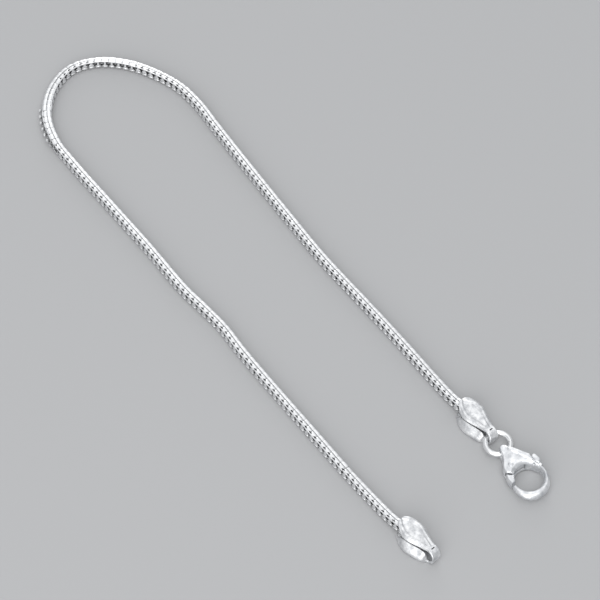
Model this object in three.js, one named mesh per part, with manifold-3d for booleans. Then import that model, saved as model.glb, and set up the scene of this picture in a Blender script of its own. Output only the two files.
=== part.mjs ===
// A square snake chain bracelet, lying unfastened in a narrow hairpin, with a folded sheet cap on
// each end of the chain and a jump ring and lobster clasp on one of them.
// Millimetres, +Z up. The legs run along X, the clasp end is at +X, and the origin is on the
// surface that it lies on, under the middle of the whole piece.
import * as THREE from 'three';
import { mergeVertices } from 'three/addons/utils/BufferGeometryUtils.js';
import Module from 'manifold-3d';

const wasm = await Module();
wasm.setup();

// ---- driving dimensions ----
const chainSide = 1.44; // across the flats of the square chain
const chainCorner = 0.15; // flat taken off each corner
const chainSteps = 80;

const sheet = 0.3; // silver sheet that the caps are folded from
const capHeight = 2.2; // over both leaves
const capLength = 7.55; // to the tip of the strap loop
const capLean = 0.2; // sideways for each millimetre of height, as the fold has pulled it over
const wallRise = 1.5; // height of the lower leaf's turned-up side
const bendRadius = 0.55;
const strapFace = 0.46; // half the strap's width, over its flat and over its edges
const strapHalf = 0.58;

const ringWire = 0.72;
const ringRadius = 1.68; // to the middle of the wire
const ringHeight = 1.0; // middle of the wire above the surface

const claspThickness = 2.3;
const claspBevel = 0.2;
const holeRadius = 1.97;
const eyeRadius = 0.72;
const pinRadius = 0.3;
const pinPlay = 0.06; // all round the pin, in the body and in the lever
const leverThickness = 0.7;
const leverPlay = 0.15; // above and below the lever in its slot
const hubRadius = 0.72; // of the lever, round its pin
const gateThickness = 1.1;
const thumbHeight = 1.4;

// ---- places, all from the middle of the piece ----
const capMid = capHeight / 2;
const lie = chainSide / 2 + 0.005; // height of the chain's middle where it lies on the surface
const clearOfCap = 0.74; // height of the chain's middle where it begins to rise to a cap
const halfRaised = 0.88;

// the middle line of the chain, from inside the clasp-side cap round to inside the free cap
const route = [
  [33.4, 8.58, capMid],
  [31.2, 8.46, capMid],
  [29.0, 8.25, halfRaised],
  [25.5, 8.2, clearOfCap],
  [20.5, 8.2, lie],
  [15.0, 8.15, lie],
  [8.8, 8.0, lie],
  [0.3, 7.8, lie],
  [-8.5, 8.1, lie],
  [-17.5, 8.5, lie],
  [-26.7, 9.0, lie],
  [-31.4, 9.3, lie],
  [-35.8, 8.9, lie],
  [-39.9, 7.4, lie],
  [-43.5, 5.2, lie],
  [-46.2, 2.2, lie],
  [-47.4, -1.6, lie],
  [-46.0, -5.8, lie],
  [-42.5, -9.2, lie],
  [-37.9, -10.8, lie],
  [-33.3, -11.0, lie],
  [-24.2, -10.8, lie],
  [-15.3, -10.6, lie],
  [-6.5, -10.6, lie],
  [-2.3, -10.2, lie],
  [2.0, -9.9, lie],
  [6.2, -10.1, lie],
  [14.6, -10.1, lie],
  [22.9, -10.0, lie],
  [30.6, -9.9, lie],
  [35.5, -9.67, clearOfCap],
  [39.0, -9.45, halfRaised],
  [41.2, -9.16, capMid],
  [43.3, -8.85, capMid],
];

const claspSideCap = { mouth: [30.12, 8.4], turn: 0.8 };
const freeEndCap = { mouth: [40.0, -9.25], turn: 4.8 };
const ringCentre = [38.3, 8.86];
const claspCentre = [45.08, 8.7]; // middle of the clasp's hole

// inside the clasp, from the middle of its hole, nose towards +X
const eyeX = -5.08;
const eyeZ = 1.1;
const pivot = [-2.75, -0.9];
const claspMid = claspThickness / 2;

const degrees = THREE.MathUtils.degToRad;

// ---- materials ----
function silver(color, roughness) {
  return new THREE.MeshStandardMaterial({ color, roughness, metalness: 1 });
}
const chainSilver = silver(0xd9dade, 0.28);
const capSilver = silver(0xe6e7ea, 0.18);
const wireSilver = silver(0xe0e1e4, 0.2);
const claspSilver = silver(0xe2e3e8, 0.22);

// ---- closed meshes and solids ----
function closed(geometry) {
  geometry.deleteAttribute('normal');
  geometry.deleteAttribute('uv');
  return mergeVertices(geometry, 1e-5);
}

function solidOf(geometry) {
  const mesh = closed(geometry);
  return new wasm.Manifold(new wasm.Mesh({
    numProp: 3,
    vertProperties: new Float32Array(mesh.attributes.position.array),
    triVerts: new Uint32Array(mesh.index.array),
  }));
}

function geometryOf(solid) {
  const mesh = solid.getMesh();
  const geometry = new THREE.BufferGeometry();
  geometry.setAttribute('position', new THREE.BufferAttribute(mesh.vertProperties, 3));
  geometry.setIndex(new THREE.BufferAttribute(mesh.triVerts, 1));
  return geometry;
}

function named(name, geometry, material) {
  const ready = closed(geometry);
  ready.computeVertexNormals();
  const mesh = new THREE.Mesh(ready, material);
  mesh.name = name;
  return mesh;
}

// the triangles that fill a round end, and those that fill the end of a folded sheet, whose
// ring runs along one face and back along the other
function fan(count) {
  return Array.from({ length: count - 2 }, (_, i) => [0, i + 1, i + 2]);
}

function strip(count) {
  const triangles = [];
  for (let i = 0; i + 1 < count / 2; i += 1) {
    const opposite = count - 1 - i;
    triangles.push([i, i + 1, opposite - 1], [i, opposite - 1, opposite]);
  }
  return triangles;
}

// a closed skin over rings of points, each with the same number, its two ends filled
function skin(rings, endTriangles) {
  const count = rings[0].length;
  const last = (rings.length - 1) * count;
  const index = [];
  for (let ring = 0; ring + 1 < rings.length; ring += 1) {
    for (let i = 0; i < count; i += 1) {
      const a = ring * count + i;
      const b = ring * count + ((i + 1) % count);
      index.push(a, b, b + count, a, b + count, a + count);
    }
  }
  for (const [a, b, c] of endTriangles) {
    index.push(a, c, b, last + a, last + b, last + c);
  }
  const geometry = new THREE.BufferGeometry();
  geometry.setAttribute('position', new THREE.Float32BufferAttribute(rings.flat(2), 3));
  geometry.setIndex(index);
  return geometry;
}

// a plan drawn on the surface and raised between two heights, its edges bevelled if asked
function raised(shape, bottom, top, bevel = 0) {
  const geometry = new THREE.ExtrudeGeometry(shape, {
    depth: top - bottom - 2 * bevel,
    bevelEnabled: bevel > 0,
    bevelThickness: bevel,
    bevelSize: bevel,
    bevelOffset: -bevel,
    bevelSegments: 1,
    curveSegments: 20,
  });
  geometry.translate(0, 0, bottom + bevel);
  return geometry;
}

function plan(points) {
  return new THREE.Shape(points.map(([x, y]) => new THREE.Vector2(x, y)));
}

// ---- chain ----
function chainGeometry() {
  const half = chainSide / 2;
  const flat = half - chainCorner;
  const section = plan([
    [half, -flat], [half, flat], [flat, half], [-flat, half],
    [-half, flat], [-half, -flat], [-flat, -half], [flat, -half],
  ]);
  const path = new THREE.CatmullRomCurve3(route.map((point) => new THREE.Vector3(...point)));
  return new THREE.ExtrudeGeometry(section, {
    steps: chainSteps,
    extrudePath: path,
    bevelEnabled: false,
  });
}

// ---- end caps ----
// Each leaf by its distance from the mouth: half-width of the face, half-width at the edge,
// and how far the edge is turned in.
const lowerLeaf = [
  { at: 1.0, face: 0.62, edge: 0.78, turned: 0.0 },
  { at: 1.2, face: 1.02, edge: 1.15, turned: 0.12 },
  { at: 1.6, face: 1.4, edge: 1.46, turned: 0.5 },
  { at: 2.1, face: 1.7, edge: 1.56, turned: 1.05 },
  { at: 2.7, face: 1.93, edge: 1.6, turned: 1.45 },
  { at: 3.4, face: 2.02, edge: 1.48, turned: 1.5 },
  { at: 4.1, face: 1.96, edge: 1.28, turned: 1.5 },
  { at: 4.7, face: 1.8, edge: 1.1, turned: 1.5 },
  { at: 5.3, face: 1.6, edge: 0.94, turned: 1.46 },
  { at: 5.85, face: 1.38, edge: 0.86, turned: 1.3 },
  { at: 6.25, face: 1.05, edge: 0.8, turned: 0.8 },
  { at: 6.45, face: strapFace, edge: strapHalf, turned: 0.0 },
];
const upperLeaf = [
  { at: 0.42, face: 0.3, edge: 0.42, turned: 0.02 },
  { at: 0.65, face: 0.56, edge: 0.72, turned: 0.03 },
  { at: 1.0, face: 0.8, edge: 0.98, turned: 0.05 },
  { at: 1.4, face: 1.02, edge: 1.22, turned: 0.1 },
  { at: 1.8, face: 1.17, edge: 1.4, turned: 0.2 },
  { at: 2.2, face: 1.29, edge: 1.52, turned: 0.3 },
  { at: 2.7, face: 1.36, edge: 1.6, turned: 0.3 },
  { at: 3.5, face: 1.24, edge: 1.48, turned: 0.3 },
  { at: 4.2, face: 1.0, edge: 1.24, turned: 0.3 },
  { at: 5.0, face: 0.78, edge: 0.98, turned: 0.26 },
  { at: 5.8, face: 0.62, edge: 0.78, turned: 0.16 },
  { at: 6.4, face: strapFace, edge: strapHalf, turned: 0.0 },
];

// half of a leaf's outer face, from its middle to its edge, as [across, inwards]
function leafHalf({ face, edge, turned }) {
  const radius = Math.min(bendRadius, face / 2);
  const share = turned / wallRise;
  const eighth = Math.PI / 4;
  return [
    [0, 0],
    [face - radius, 0],
    [face - radius + radius * Math.sin(eighth), radius * share * (1 - Math.cos(eighth))],
    [face, radius * share],
    [edge, turned],
  ];
}

// the same half set back by the thickness of the sheet
function innerHalf(half) {
  return half.map(([across, inwards], i) => {
    const before = half[Math.max(i - 1, 0)];
    const after = half[Math.min(i + 1, half.length - 1)];
    const along = new THREE.Vector2(after[0] - before[0], after[1] - before[1]).normalize();
    return [across - sheet * along.y, inwards + sheet * along.x];
  });
}

function bothSides(half) {
  const left = half.slice(1).reverse().map(([across, inwards]) => [-across, inwards]);
  return [...left, ...half];
}

// a cap lies along X from its mouth at 0: lower leaf, round the strap loop, and back as the upper
function capGeometry() {
  const loopRadius = capHeight / 2;
  const loopX = capLength - loopRadius;
  const strap = { face: strapFace, edge: strapHalf, turned: 0 };
  const stations = [];
  for (const leaf of lowerLeaf) {
    stations.push({ ...leaf, x: leaf.at, z: 0, inX: 0, inZ: 1 });
  }
  const loopParts = 8;
  for (let part = 0; part <= loopParts; part += 1) {
    const angle = -Math.PI / 2 + (Math.PI * part) / loopParts;
    const inX = -Math.cos(angle);
    const inZ = -Math.sin(angle);
    stations.push({ ...strap, x: loopX - loopRadius * inX, z: capMid - loopRadius * inZ, inX, inZ });
  }
  for (const leaf of [...upperLeaf].reverse()) {
    stations.push({ ...leaf, x: leaf.at, z: capHeight, inX: 0, inZ: -1 });
  }
  const rings = stations.map((station) => {
    const outer = leafHalf(station);
    const loop = [...bothSides(outer), ...bothSides(innerHalf(outer)).reverse()];
    return loop.map(([across, inwards]) => {
      const height = station.z + station.inZ * inwards;
      return [station.x + station.inX * inwards, across + capLean * height, height];
    });
  });
  return skin(rings, strip(rings[0].length));
}

function cap(name, { mouth, turn }) {
  const mesh = named(name, capGeometry(), capSilver);
  mesh.position.set(mouth[0], mouth[1], 0);
  mesh.rotation.z = degrees(turn);
  return mesh;
}

// ---- clasp ----
// The hook leaves the shoulder, passes the nose and ends at its tip, thinning all the way.
const hookStations = [
  { angle: 128, wide: 0.36, tall: 1.5 },
  { angle: 104, wide: 0.46, tall: 1.7 },
  { angle: 80, wide: 0.6, tall: 1.7 },
  { angle: 55, wide: 0.72, tall: 1.5 },
  { angle: 30, wide: 0.95, tall: 1.35 },
  { angle: 8, wide: 1.12, tall: 1.3 },
  { angle: -14, wide: 1.22, tall: 1.25 },
  { angle: -36, wide: 1.22, tall: 1.18 },
  { angle: -58, wide: 1.0, tall: 1.08 },
  { angle: -78, wide: 0.76, tall: 0.96 },
  { angle: -96, wide: 0.58, tall: 0.85 },
];

const shoulder = 100; // degrees round from the nose, where the hook is buried in the body
const hookRoot = 0.29; // from the hole's edge to the middle of the buried stretch

function hookGeometry() {
  const sides = 12;
  const rings = hookStations.map(({ angle, wide, tall }) => {
    const ring = [];
    const middle = holeRadius + (angle > shoulder ? hookRoot : wide / 2);
    for (let i = 0; i < sides; i += 1) {
      const round = (2 * Math.PI * (i + 0.5)) / sides;
      const out = middle + (wide / 2) * Math.cos(round);
      ring.push([
        out * Math.cos(degrees(angle)),
        out * Math.sin(degrees(angle)),
        claspMid + (tall / 2) * Math.sin(round),
      ]);
    }
    return ring;
  });
  return skin(rings, fan(sides));
}

function bodyPlan() {
  const throatStart = shoulder;
  const throatEnd = 224;
  const outline = [
    [-1.15, 2.4], [-1.3, 2.05], [-2.4, 2.05], [-2.52, 2.12], [-3.75, 1.72],
    [-4.7, 1.05], [-5.1, 0.7], [-5.7, 0.62], [-6.02, 0.35], [-6.08, 0.0], [-5.94, -0.4],
    [-5.4, -0.68], [-4.6, -0.9], [-3.9, -1.2], [-3.2, -1.8], [-2.8, -2.02], [-2.1, -2.08],
  ];
  const shape = plan(outline);
  const throat = [];
  const parts = 12;
  for (let part = 0; part <= parts; part += 1) {
    const angle = degrees(throatEnd + ((throatStart - throatEnd) * part) / parts);
    throat.push(new THREE.Vector2(holeRadius * Math.cos(angle), holeRadius * Math.sin(angle)));
  }
  for (const point of throat) {
    shape.lineTo(point.x, point.y);
  }
  shape.lineTo(-0.35, 2.5);
  return shape;
}

function disc(radius) {
  return new THREE.Shape().absarc(pivot[0], pivot[1], radius, 0, 2 * Math.PI, false);
}

// the flat of the lever: hub, the arm up to the knob, and the gate
function leverFlat(bottom, top) {
  const arm = plan([[-3.4, -0.8], [-3.0, 0.3], [-2.3, 2.5], [-1.72, 2.5], [-2.0, 0.6], [-2.1, -0.7]]);
  const gate = plan([
    [-2.15, -0.55], [-1.62, -1.42], [-0.5, -1.98], [-0.5, -2.44], [-1.2, -2.38], [-2.1, -2.08],
    [-2.85, -1.5],
  ]);
  return [arm, gate, disc(hubRadius)]
    .map((shape) => solidOf(raised(shape, bottom, top)))
    .reduce((whole, piece) => whole.add(piece));
}

// all that the lever sweeps from shut to open, with play round it
function slot() {
  const sweep = plan([
    [-1.55, 3.2], [-1.86, 0.6], [-1.8, -0.05], [-0.35, -0.7], [-0.35, -2.7], [-2.25, -2.7],
    [-2.35, -2.08], [-3.0, -1.6], [-3.6, -0.9], [-3.68, 0.1], [-4.25, 2.45], [-4.25, 3.2],
  ]);
  const half = leverThickness / 2 + leverPlay;
  return solidOf(raised(sweep, claspMid - half, claspMid + half))
    .add(solidOf(raised(disc(hubRadius + leverPlay), claspMid - half, claspMid + half)));
}

function pinHole() {
  const geometry = new THREE.CylinderGeometry(pinRadius + pinPlay, pinRadius + pinPlay, 4, 20);
  geometry.rotateX(Math.PI / 2);
  geometry.translate(pivot[0], pivot[1], claspMid);
  return solidOf(geometry);
}

function claspBodyGeometry() {
  const flare = 0.16; // the eye opens out at both mouths
  const eye = new THREE.LatheGeometry([
    [0, -2], [eyeRadius + flare, -2], [eyeRadius + flare, -1.1], [eyeRadius, -0.5],
    [eyeRadius, 0.5], [eyeRadius + flare, 1.1], [eyeRadius + flare, 2], [0, 2],
  ].map(([radius, y]) => new THREE.Vector2(radius, y)), 24);
  eye.translate(eyeX, 0, eyeZ);
  const body = solidOf(raised(bodyPlan(), 0, claspThickness, claspBevel));
  return geometryOf(body
    .add(solidOf(hookGeometry()))
    .subtract(slot())
    .subtract(solidOf(eye))
    .subtract(pinHole()));
}

// the bar that the thumb pulls: a slot shape with round ends
function thumbBar() {
  const from = [-2.12, 2.52];
  const to = [-1.8, 2.6];
  const radius = 0.36;
  const along = Math.atan2(to[1] - from[1], to[0] - from[0]);
  const quarter = Math.PI / 2;
  return new THREE.Shape()
    .absarc(from[0], from[1], radius, along + quarter, along + 3 * quarter, false)
    .absarc(to[0], to[1], radius, along - quarter, along + quarter, false);
}

function leverGeometry() {
  const bottom = claspMid - leverThickness / 2;
  const gateFace = plan([
    [-1.45, -1.62], [-0.5, -1.98], [-0.5, -2.44], [-1.2, -2.38], [-1.62, -2.26],
  ]);
  const gateBottom = claspMid - gateThickness / 2;
  return geometryOf(leverFlat(bottom, bottom + leverThickness)
    .add(solidOf(raised(gateFace, gateBottom, gateBottom + gateThickness)))
    .add(solidOf(raised(thumbBar(), claspMid - thumbHeight / 2, claspMid + thumbHeight / 2, 0.14)))
    .subtract(pinHole()));
}

function pinGeometry() {
  const length = claspThickness - 0.1;
  const pin = new THREE.CylinderGeometry(pinRadius, pinRadius, length, 16);
  pin.rotateX(Math.PI / 2);
  pin.translate(pivot[0], pivot[1], claspMid);
  return pin;
}

// ---- assembly ----
const bracelet = new THREE.Group();
bracelet.add(named('chain', chainGeometry(), chainSilver));
bracelet.add(cap('end_cap_clasp_side', claspSideCap));
bracelet.add(cap('end_cap_free_end', freeEndCap));

const ring = named('jump_ring', new THREE.TorusGeometry(ringRadius, ringWire / 2, 10, 36), wireSilver);
ring.position.set(ringCentre[0], ringCentre[1], ringHeight);
bracelet.add(ring);

const clasp = new THREE.Group();
clasp.position.set(claspCentre[0], claspCentre[1], 0);
clasp.add(named('clasp_body', claspBodyGeometry(), claspSilver));
clasp.add(named('clasp_lever', leverGeometry(), claspSilver));
clasp.add(named('clasp_pin', pinGeometry(), wireSilver));
bracelet.add(clasp);

export default bracelet;
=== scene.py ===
# A square snake chain bracelet lying open in a hairpin: linked chain, two folded caps,
# a jump ring and a lobster clasp with a sprung lever, all in silver.
# Shapes are worked out in millimetres and written into their meshes in metres.
import math

import bmesh
import bpy
import numpy as np
from mathutils import Matrix, Vector


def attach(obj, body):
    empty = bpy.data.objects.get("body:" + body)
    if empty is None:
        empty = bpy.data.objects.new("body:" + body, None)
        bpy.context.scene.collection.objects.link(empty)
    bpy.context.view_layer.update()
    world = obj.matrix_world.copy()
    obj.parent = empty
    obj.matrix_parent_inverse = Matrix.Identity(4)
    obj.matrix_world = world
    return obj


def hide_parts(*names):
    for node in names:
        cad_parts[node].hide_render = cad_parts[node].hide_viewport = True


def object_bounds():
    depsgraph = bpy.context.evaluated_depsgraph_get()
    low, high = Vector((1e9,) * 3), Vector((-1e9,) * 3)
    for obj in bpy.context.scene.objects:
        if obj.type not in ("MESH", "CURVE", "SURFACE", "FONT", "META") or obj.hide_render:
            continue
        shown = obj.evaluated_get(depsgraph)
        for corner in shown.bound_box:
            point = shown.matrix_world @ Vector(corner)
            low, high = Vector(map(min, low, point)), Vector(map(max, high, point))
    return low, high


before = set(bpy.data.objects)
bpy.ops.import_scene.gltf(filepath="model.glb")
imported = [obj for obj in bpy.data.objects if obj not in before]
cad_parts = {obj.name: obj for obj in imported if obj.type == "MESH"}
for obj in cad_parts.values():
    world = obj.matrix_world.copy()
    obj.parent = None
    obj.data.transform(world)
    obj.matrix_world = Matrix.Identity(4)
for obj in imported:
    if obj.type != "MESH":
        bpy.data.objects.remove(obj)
cadLow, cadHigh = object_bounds()
mm = 0.001
hair = 0.000005
tiny = 1e-6  # lengths below this count as nothing
# the looks stay inside the box of the CAD model, by a hair
boxLow, boxHigh = np.array(cadLow) + hair, np.array(cadHigh) - hair

cameraSetup = {
    "target": (4.14, 1.30, 0.7),
    "azimuth": 53.9,
    "elevation": 56.0,
    "distance": 439.9,
    "lens": 193.2,
    "sensor": 36.0,
}


# the way from the bracelet towards a camera or a light
def direction(setup):
    azimuth = math.radians(setup["azimuth"])
    elevation = math.radians(setup["elevation"])
    return Vector((
        math.sin(azimuth) * math.cos(elevation),
        -math.cos(azimuth) * math.cos(elevation),
        math.sin(elevation),
    ))


def makeCamera(setup):
    back = direction(setup)
    data = bpy.data.cameras.new("camera")
    data.lens = setup["lens"]
    data.sensor_width = setup["sensor"]
    data.clip_start = 0.01
    data.clip_end = 20.0
    camera = bpy.data.objects.new("camera", data)
    camera.location = (Vector(setup["target"]) + back * setup["distance"]) * mm
    camera.rotation_euler = (-back).to_track_quat("-Z", "Y").to_euler()
    bpy.context.scene.collection.objects.link(camera)
    bpy.context.scene.camera = camera


makeCamera(cameraSetup)
print("camera placed")


# most shapes are skins over rings of points


# closed skin over rings with the same number of points, its two ends filled
def skin(rings, first=0):
    count = len(rings[0])
    faces = []
    for ring in range(len(rings) - 1):
        start = first + ring * count
        for i in range(count):
            j = (i + 1) % count
            faces.append((start + i, start + j, start + count + j, start + count + i))
    last = first + (len(rings) - 1) * count
    faces.append(tuple(first + i for i in reversed(range(count))))
    faces.append(tuple(last + i for i in range(count)))
    return [tuple(point) for ring in rings for point in ring], faces


# several skins as one list of points and one of faces
def together(parts):
    points = []
    faces = []
    for partPoints, partFaces in parts:
        offset = len(points)
        points.extend(partPoints)
        faces.extend(tuple(i + offset for i in face) for face in partFaces)
    return points, faces


# an object whose mesh is still in millimetres
def rough(name, points, faces):
    mesh = bpy.data.meshes.new(name)
    mesh.from_pydata([tuple(point) for point in points], [], faces)
    fixed = bmesh.new()
    fixed.from_mesh(mesh)
    bmesh.ops.recalc_face_normals(fixed, faces=fixed.faces)
    fixed.to_mesh(mesh)
    fixed.free()
    obj = bpy.data.objects.new(name, mesh)
    bpy.context.scene.collection.objects.link(obj)
    return obj


# an object from a bmesh, which is used up
def objectFrom(name, built):
    mesh = bpy.data.meshes.new(name)
    built.to_mesh(mesh)
    built.free()
    obj = bpy.data.objects.new(name, mesh)
    bpy.context.scene.collection.objects.link(obj)
    return obj


# bakes an object's modifiers into its mesh
def applied(obj):
    bpy.context.view_layer.update()
    graph = bpy.context.evaluated_depsgraph_get()
    mesh = bpy.data.meshes.new_from_object(obj.evaluated_get(graph))
    obj.modifiers.clear()
    obj.data = mesh
    return obj


# turns a finished millimetre mesh into a piece of the bracelet
def finished(obj, move, material, sharp, body, replaced=()):
    obj.data.transform(Matrix.Scale(mm, 4) @ move)
    places = np.empty(3 * len(obj.data.vertices))
    obj.data.vertices.foreach_get("co", places)
    obj.data.vertices.foreach_set("co", np.clip(places.reshape(-1, 3), boxLow, boxHigh).ravel())
    obj.data.polygons.foreach_set("use_smooth", [True] * len(obj.data.polygons))
    obj.data.set_sharp_from_angle(angle=math.radians(sharp))
    obj.data.materials.clear()
    obj.data.materials.append(material)
    obj.data.update()
    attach(obj, body)
    if replaced:
        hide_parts(*replaced)
    print(obj.name, "made,", len(obj.data.polygons), "faces")
    return obj


# a smooth value between the rows of a table
def between(at, rows, column):
    places = np.array([row["at"] for row in rows])
    values = np.array([row[column] for row in rows])
    slopes = np.gradient(values, places)
    i = int(np.clip(np.searchsorted(places, at) - 1, 0, len(places) - 2))
    span = places[i + 1] - places[i]
    t = (at - places[i]) / span
    return float(
        (2 * t**3 - 3 * t**2 + 1) * values[i]
        + (t**3 - 2 * t**2 + t) * span * slopes[i]
        + (3 * t**2 - 2 * t**3) * values[i + 1]
        + (t**3 - t**2) * span * slopes[i + 1]
    )


# every silver finish is mixed from a few effects that they all share


# a new node group with its inputs and outputs, each a name, a socket type and a start value
def newGroup(name, inputs, outputs):
    group = bpy.data.node_groups.new(name, "ShaderNodeTree")
    for label, kind, value in inputs:
        socket = group.interface.new_socket(name=label, in_out="INPUT", socket_type="NodeSocket" + kind)
        socket.default_value = value
    for label, kind in outputs:
        group.interface.new_socket(name=label, in_out="OUTPUT", socket_type="NodeSocket" + kind)
    entry = group.nodes.new("NodeGroupInput")
    leave = group.nodes.new("NodeGroupOutput")
    return group, entry, leave


def node(tree, kind, values=None, **settings):
    made = tree.nodes.new(kind)
    for key, value in settings.items():
        setattr(made, key, value)
    for key, value in (values or {}).items():
        made.inputs[key].default_value = value
    return made


def math2(tree, operation, a, b=0.0, clamp=False):
    made = node(tree, "ShaderNodeMath", operation=operation, use_clamp=clamp)
    for socket, value in zip(made.inputs, (a, b)):
        if isinstance(value, (int, float)):
            socket.default_value = value
        else:
            tree.links.new(value, socket)
    return made.outputs[0]


# object space in millimetres
def millimetres(tree):
    place = node(tree, "ShaderNodeTexCoord")
    scaled = node(tree, "ShaderNodeVectorMath", {1: (1000.0, 1000.0, 1000.0)}, operation="MULTIPLY")
    tree.links.new(place.outputs["Object"], scaled.inputs[0])
    return scaled.outputs[0]


mottleFiner = 7.0  # times finer than the broad patches
mottleSpread = 3.0
# each run of scratches: its turn about Z, and how it's stretched along each axis
scratchRuns = ((0.4, (0.5, 14.0, 14.0)), (1.5, (11.0, 0.4, 11.0)))
scratchFrom, scratchTo = 0.6, 0.74
pitWidth = 0.35


# cloudy patches, where the polish is thinner or thicker
def makeMottle():
    group, entry, leave = newGroup(
        "mottle",
        [("Scale", "Float", 1.0), ("Contrast", "Float", 1.0)],
        [("Mask", "Float"), ("Fine", "Float")],
    )
    place = millimetres(group)
    broad = node(group, "ShaderNodeTexNoise", {"Detail": 4.0, "Roughness": 0.6})
    fine = node(group, "ShaderNodeTexNoise", {"Detail": 3.0, "Roughness": 0.5})
    group.links.new(place, broad.inputs["Vector"])
    group.links.new(place, fine.inputs["Vector"])
    group.links.new(entry.outputs["Scale"], broad.inputs["Scale"])
    group.links.new(math2(group, "MULTIPLY", entry.outputs["Scale"], mottleFiner), fine.inputs["Scale"])
    centred = math2(group, "SUBTRACT", broad.outputs["Fac"], 0.5)
    contrast = math2(group, "MULTIPLY", entry.outputs["Contrast"], mottleSpread)
    spread = math2(group, "MULTIPLY", centred, contrast)
    group.links.new(math2(group, "ADD", spread, 0.5, clamp=True), leave.inputs["Mask"])
    group.links.new(fine.outputs["Fac"], leave.inputs["Fine"])
    return group


# hairline scratches from handling, in two crossing directions
def makeScratches():
    group, entry, leave = newGroup("scratches", [("Density", "Float", 1.0)], [("Mask", "Float")])
    place = millimetres(group)
    total = None
    for turn, stretch in scratchRuns:
        mapped = node(group, "ShaderNodeMapping", {"Rotation": (0.0, 0.0, turn), "Scale": stretch})
        group.links.new(place, mapped.inputs["Vector"])
        streak = node(group, "ShaderNodeTexNoise", {"Detail": 2.0, "Roughness": 0.4})
        group.links.new(mapped.outputs[0], streak.inputs["Vector"])
        group.links.new(entry.outputs["Density"], streak.inputs["Scale"])
        line = node(group, "ShaderNodeMapRange", {"From Min": scratchFrom, "From Max": scratchTo})
        group.links.new(streak.outputs["Fac"], line.inputs["Value"])
        made = line.outputs[0]
        total = made if total is None else math2(group, "MAXIMUM", total, made)
    group.links.new(total, leave.inputs["Mask"])
    return group


# painted shade: darkening from ambient occlusion in the seams and between links, where shade falls
def makeCrevice():
    group, entry, leave = newGroup(
        "crevice",
        [("Reach", "Float", 0.0004), ("Depth", "Float", 1.0)],
        [("Mask", "Float")],
    )
    shade = node(group, "ShaderNodeAmbientOcclusion", samples=8, only_local=True)
    group.links.new(entry.outputs["Reach"], shade.inputs["Distance"])
    closedIn = math2(group, "SUBTRACT", 1.0, shade.outputs["AO"])
    strong = math2(group, "MULTIPLY", closedIn, entry.outputs["Depth"])
    patches = node(group, "ShaderNodeTexNoise", {"Scale": 2.0, "Detail": 2.0})
    group.links.new(millimetres(group), patches.inputs["Vector"])
    patchy = math2(group, "ADD", patches.outputs["Fac"], 0.5)
    uneven = math2(group, "MULTIPLY", strong, patchy, clamp=True)
    group.links.new(uneven, leave.inputs["Mask"])
    return group


# tiny pits and ripples left by casting and rolling
def makePits():
    group, entry, leave = newGroup("pits", [("Scale", "Float", 6.0)], [("Height", "Float")])
    place = millimetres(group)
    ripple = node(group, "ShaderNodeTexNoise", {"Detail": 5.0, "Roughness": 0.55})
    pit = node(group, "ShaderNodeTexVoronoi", feature="SMOOTH_F1")
    for texture in (ripple, pit):
        group.links.new(place, texture.inputs["Vector"])
        group.links.new(entry.outputs["Scale"], texture.inputs["Scale"])
    hollow = node(group, "ShaderNodeMapRange", {"From Min": 0.0, "From Max": pitWidth})
    group.links.new(pit.outputs["Distance"], hollow.inputs["Value"])
    half = math2(group, "MULTIPLY", hollow.outputs[0], 0.5)
    group.links.new(math2(group, "ADD", ripple.outputs["Fac"], half), leave.inputs["Height"])
    return group


groups = {
    "mottle": makeMottle(),
    "scratches": makeScratches(),
    "crevice": makeCrevice(),
    "pits": makePits(),
}


def placed(tree, name, **values):
    made = tree.nodes.new("ShaderNodeGroup")
    made.node_tree = groups[name]
    for key, value in values.items():
        made.inputs[key].default_value = value
    return made


def mixed(tree, factor, first, second):
    made = node(tree, "ShaderNodeMix", data_type="RGBA")
    tree.links.new(factor, made.inputs[0])
    for socket, value in ((made.inputs[6], first), (made.inputs[7], second)):
        if isinstance(value, tuple):
            socket.default_value = (*value, 1.0)
        else:
            tree.links.new(value, socket)
    return made.outputs[2]


seamDull = 0.25  # roughness added where a seam is dark
scratchDepth = 2.0
bumpHeight = 0.02  # millimetres


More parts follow.
